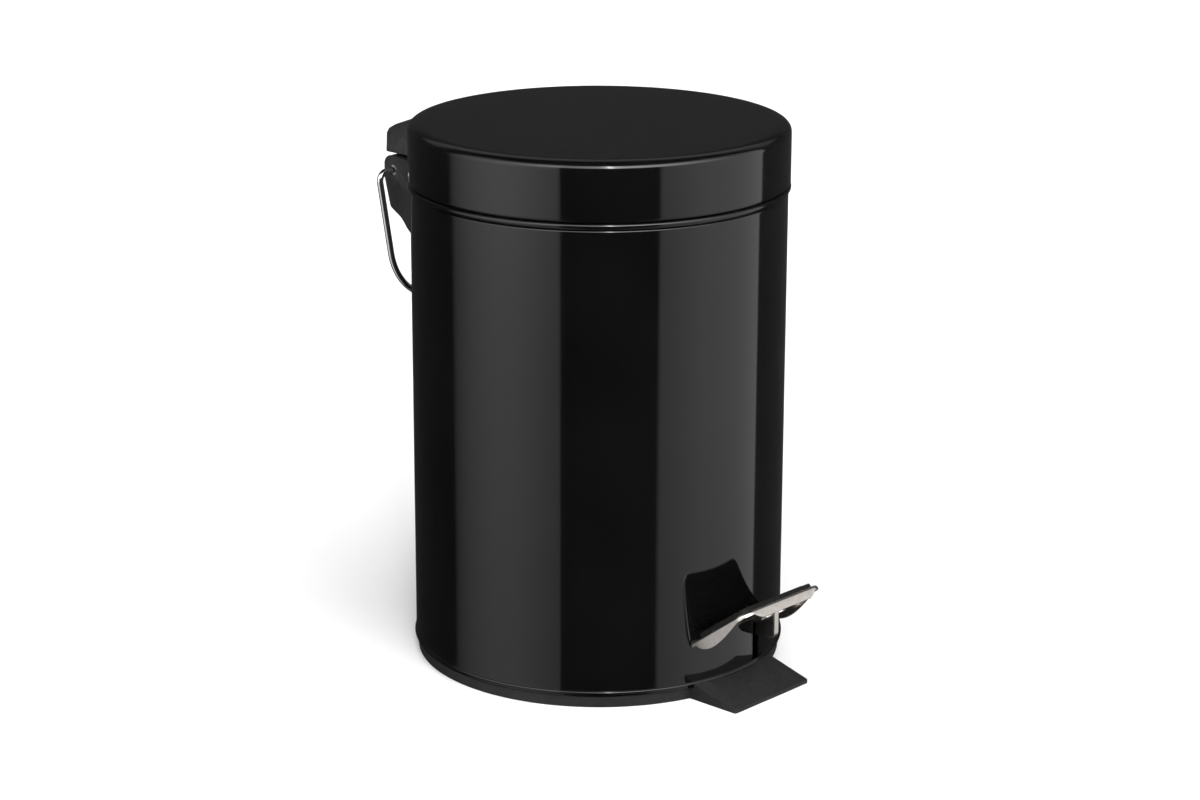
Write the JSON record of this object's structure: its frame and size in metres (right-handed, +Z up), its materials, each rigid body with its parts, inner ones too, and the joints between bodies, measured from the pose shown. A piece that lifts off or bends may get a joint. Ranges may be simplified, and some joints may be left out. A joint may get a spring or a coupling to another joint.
{
  "type": "pedal bin",
  "caption": "Round pedal bin with a glossy metal shell, a hinged lid opened by a pedal through a lever and push rod, a lift-out bucket and a swinging wire carrying handle.",
  "frame": {"origin": "on the bin's upright axis, in the plane that it stands on", "axes": "+Z up, -Y towards the pedal at the front, +Y towards the hinge at the rear, +X to the right of a person who faces the hinge from the pedal's side"},
  "size_m": [0.1704, 0.2227, 0.245],
  "materials": {
    "black_paint": "glossy black enamel",
    "black_plastic": "satin, lightly textured",
    "dark_rubber": "matt",
    "nickel_plate": "satin nickel plate",
    "chrome_wire": "bright chrome plate",
    "zinc_steel": "zinc plate",
    "grey_plastic": "smooth moulded"
  },
  "bodies": {
    "bin": {"body_shell": "black_paint", "base": "black_plastic", "anti_slip_pads": "dark_rubber", "base_screws": "zinc_steel", "hinge_bracket": "black_plastic", "bracket_backing_plate": "zinc_steel", "bracket_screws": "zinc_steel", "hinge_tube": "zinc_steel", "rod_guide": "black_plastic", "lever_bracket": "zinc_steel", "lever_bracket_screws": "zinc_steel", "lever_pivot_pin": "zinc_steel", "pivot_pin_clip": "zinc_steel"},
    "lid": {"lid_shell": "black_paint", "lid_hinge_cap": "black_plastic", "lid_backing_plate": "zinc_steel", "lid_screws": "zinc_steel"},
    "push_rod": {"push_rod": "zinc_steel", "rod_clips": "zinc_steel"},
    "pedal": {"pedal_lever": "nickel_plate", "pedal_plate": "nickel_plate", "pedal_pad": "dark_rubber", "pedal_rivets": "nickel_plate"},
    "carry_handle": {"carry_handle": "chrome_wire"},
    "bucket": {"inner_bucket": "grey_plastic"},
    "bucket_bail": {"bucket_handle": "chrome_wire", "bucket_handle_grip": "black_plastic"}
  },
  "joints": [
    {"name": "lid_hinge", "type": "hinge", "parent": "bin", "child": "lid", "pos_m": [0, 0.104, 0.211], "axis": [-1, 0, 0], "range_deg": [0, 75]},
    {"name": "push_rod_slide", "type": "slide", "parent": "bin", "child": "push_rod", "axis": [0, 0, 1], "range_m": [0, 0.0183]},
    {"name": "pedal_pivot", "type": "hinge", "parent": "bin", "child": "pedal", "pos_m": [0.015, -0.02, 0.0205], "axis": [1, 0, 0], "range_deg": [0, 10.9]},
    {"name": "carry_handle_swing", "type": "hinge", "parent": "bin", "child": "carry_handle", "pos_m": [0, 0.104, 0.211], "axis": [1, 0, 0], "range_deg": [-15, 100]},
    {"name": "bucket_lift", "type": "slide", "parent": "bin", "child": "bucket", "axis": [0, 0, 1], "range_m": [0, 0.004]},
    {"name": "bucket_handle_swing", "type": "hinge", "parent": "bucket", "child": "bucket_bail", "pos_m": [0, 0, 0.228], "axis": [1, 0, 0], "range_deg": [0, 5]}
  ],
  "couplings": [
    {"joint": "push_rod_slide", "follows": "lid_hinge", "m_per_rad": 0.013952},
    {"joint": "pedal_pivot", "follows": "lid_hinge", "ratio": 0.1441}
  ]
}
